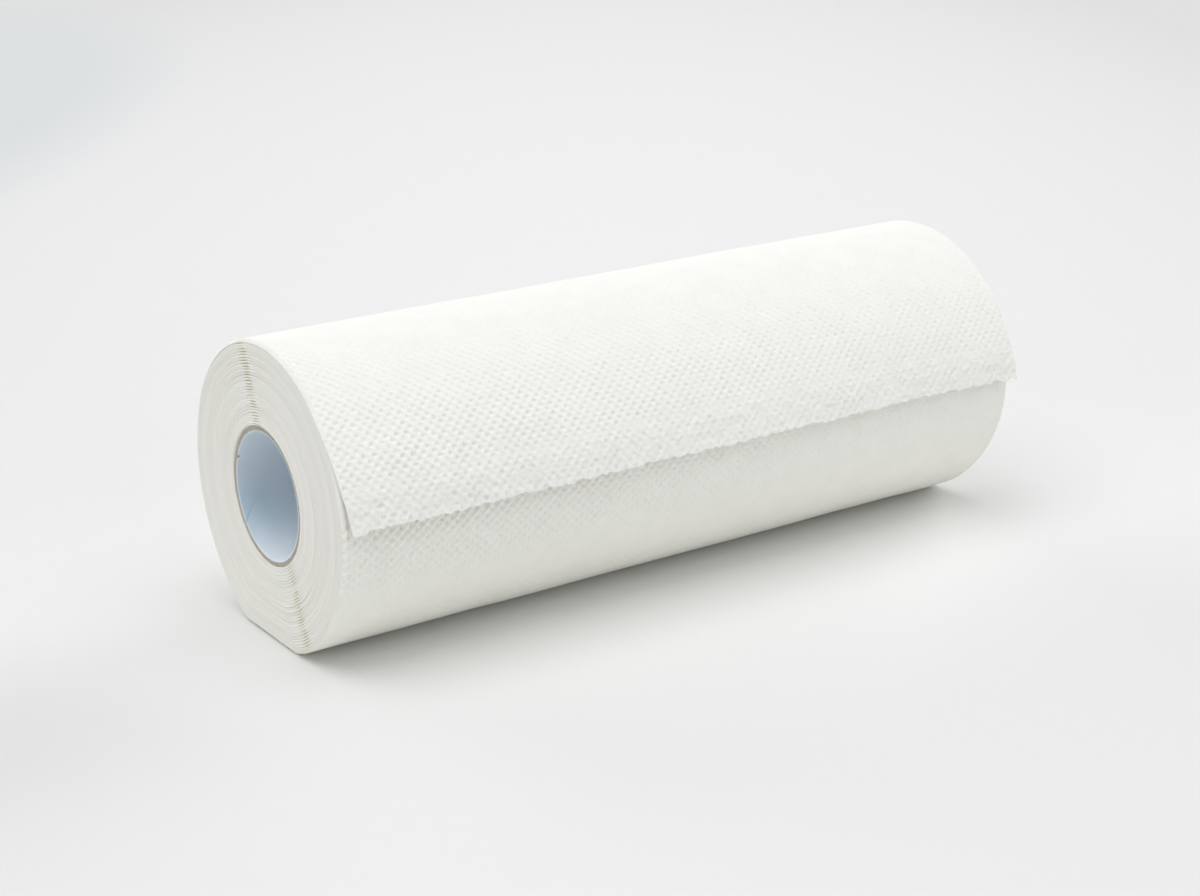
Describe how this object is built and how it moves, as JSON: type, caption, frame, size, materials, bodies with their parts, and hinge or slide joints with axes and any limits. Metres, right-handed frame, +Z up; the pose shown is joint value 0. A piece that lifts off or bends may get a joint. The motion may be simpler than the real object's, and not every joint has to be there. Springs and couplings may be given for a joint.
{
  "type": "exam table paper roll",
  "caption": "White embossed paper web wound in a soft roll on a lined board core, lying on a small flat spot, with its free end lifting off the front.",
  "frame": {"origin": "middle of the core's bore, on its axis", "axes": "+X along the roll's axis, which is its length; +Z up from the flat spot that the roll lies on; the web's free end comes down the front, at -Y"},
  "size_m": [0.2508, 0.0947, 0.0908],
  "materials": {
    "embossed_paper": "soft matt, embossed with staggered dimples",
    "core_board": "raw kraft board edge",
    "blue_ply": "smooth matt paper ply with a helical seam"
  },
  "bodies": {
    "root": {"paper_roll": "embossed_paper", "core_tube": "core_board", "core_liner": "blue_ply"}
  },
  "joints": []
}
